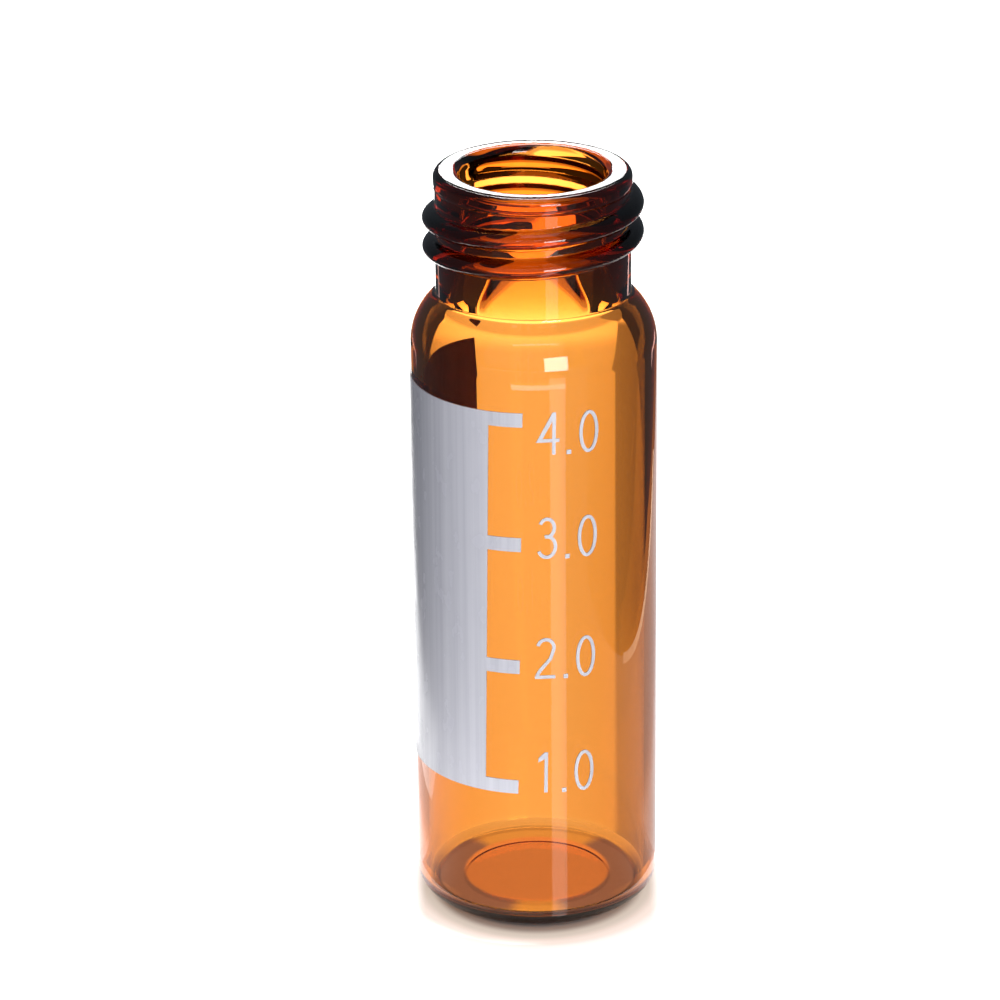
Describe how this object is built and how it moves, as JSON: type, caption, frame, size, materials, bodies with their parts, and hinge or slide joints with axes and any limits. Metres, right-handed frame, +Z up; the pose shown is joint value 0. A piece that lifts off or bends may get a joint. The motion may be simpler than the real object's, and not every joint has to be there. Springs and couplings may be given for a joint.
{
  "type": "glass sample vial",
  "caption": "Small open amber glass sample vial with a screw-thread neck, a rounded shoulder, a pushed-up base and a white enamel write-on panel with graduation ticks.",
  "frame": {"origin": "centre of the ring that the vial stands on, at the level of the standing surface", "axes": "+Z up along the vial's axis, out of the mouth; -Y is the front, where the graduation ticks are read; +X is to the reader's right"},
  "size_m": [0.0143, 0.0142, 0.045],
  "materials": {
    "amber_glass": "clear amber glass, fire-polished",
    "white_enamel": "fired white screen-print enamel, satin"
  },
  "bodies": {
    "root": {"glass_vial": "amber_glass", "enamel_print": "white_enamel"}
  },
  "joints": []
}
